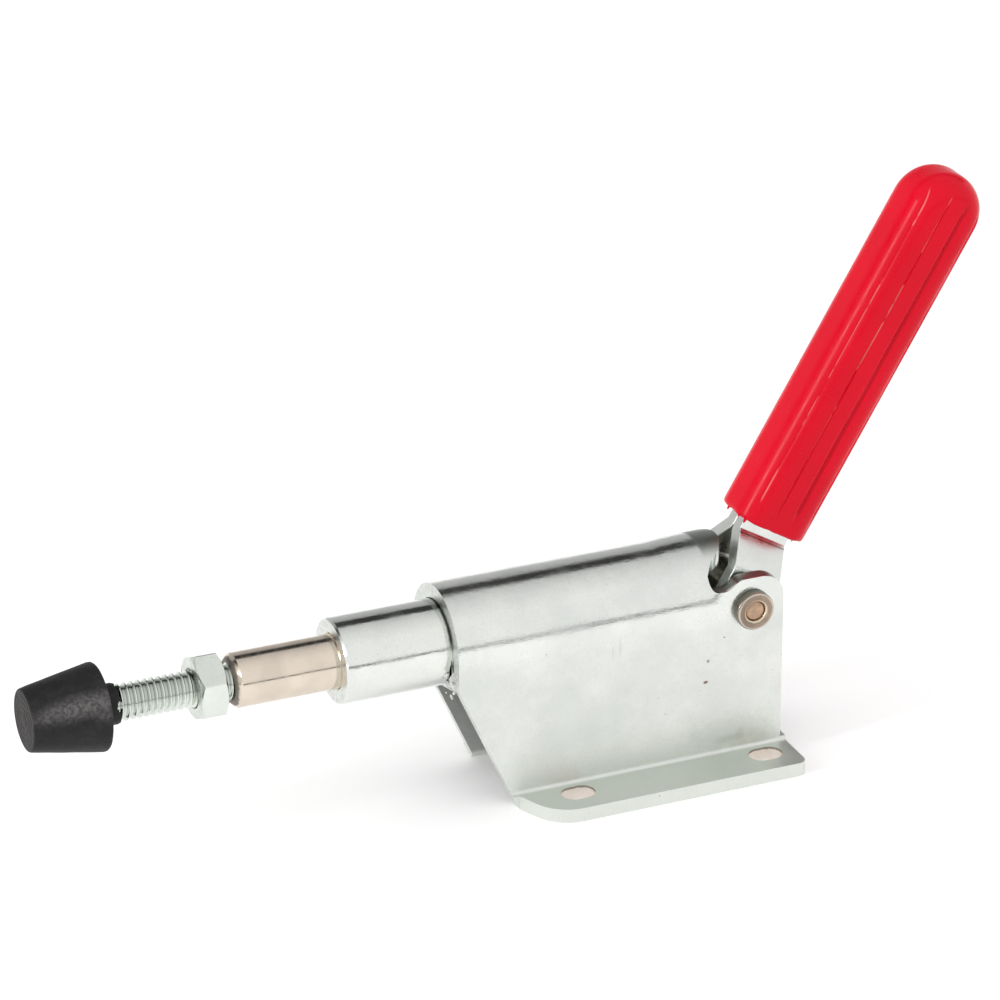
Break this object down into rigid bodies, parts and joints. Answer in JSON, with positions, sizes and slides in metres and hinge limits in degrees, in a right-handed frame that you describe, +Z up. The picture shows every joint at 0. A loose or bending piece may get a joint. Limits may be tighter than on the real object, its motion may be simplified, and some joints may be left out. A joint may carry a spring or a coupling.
{
  "type": "toggle clamp",
  "caption": "Straight-line push-pull toggle clamp: folded steel base, guided plunger with threaded rubber-tipped spindle, two-armed lever with a grip.",
  "frame": {"origin": "centre of the four-hole pattern on the mounting plane", "axes": "+X the way the plunger pushes, +Z up from the mounting plane, +Y to the left side seen from behind the handle"},
  "size_m": [0.2111, 0.0466, 0.1223],
  "materials": {
    "zinc_plated_steel": "bright zinc plating over folded and stamped steel",
    "nickel_plated_steel": "warm nickel plating, smooth",
    "weld_metal": "plated weld bead, lumpy",
    "riveted_pin_end": "riveted end, brownish",
    "red_pvc": "soft glossy PVC",
    "black_rubber": "matt black moulded rubber"
  },
  "bodies": {
    "body": {"body_shell": "zinc_plated_steel", "guide_tube": "zinc_plated_steel", "weld_bead_near": "weld_metal", "weld_bead_far": "weld_metal", "pivot_pin": "riveted_pin_end", "pivot_collar_near": "nickel_plated_steel", "pivot_collar_far": "nickel_plated_steel", "pivot_bush": "nickel_plated_steel"},
    "handle": {"handle_arm_near": "zinc_plated_steel", "handle_arm_far": "zinc_plated_steel", "handle_grip": "red_pvc", "crank_pin": "nickel_plated_steel"},
    "link": {"link_plate_near": "zinc_plated_steel", "link_plate_far": "zinc_plated_steel", "link_pin": "nickel_plated_steel", "crank_spacer_near": "zinc_plated_steel", "crank_spacer_far": "zinc_plated_steel"},
    "plunger": {"plunger": "nickel_plated_steel", "spindle": "zinc_plated_steel", "jam_nut": "zinc_plated_steel", "rubber_cap": "black_rubber"}
  },
  "joints": [
    {"name": "handle_pivot", "type": "hinge", "parent": "body", "child": "handle", "pos_m": [-0.01995, 0, 0.0356], "axis": [0, 1, 0], "range_deg": [-39.3, 14.7]},
    {"name": "plunger_slide", "type": "slide", "parent": "body", "child": "plunger", "axis": [1, 0, 0], "range_m": [-0.00495, 0.01289]},
    {"name": "crank_pivot", "type": "hinge", "parent": "handle", "child": "link", "pos_m": [-0.00138, 0, 0.0204], "axis": [0, 1, 0], "range_deg": [-25.42, 67.11]}
  ],
  "couplings": [
    {"joint": "plunger_slide", "follows": "handle_pivot", "m_per_rad": -0.0185},
    {"joint": "crank_pivot", "follows": "handle_pivot", "ratio": -1.695}
  ]
}
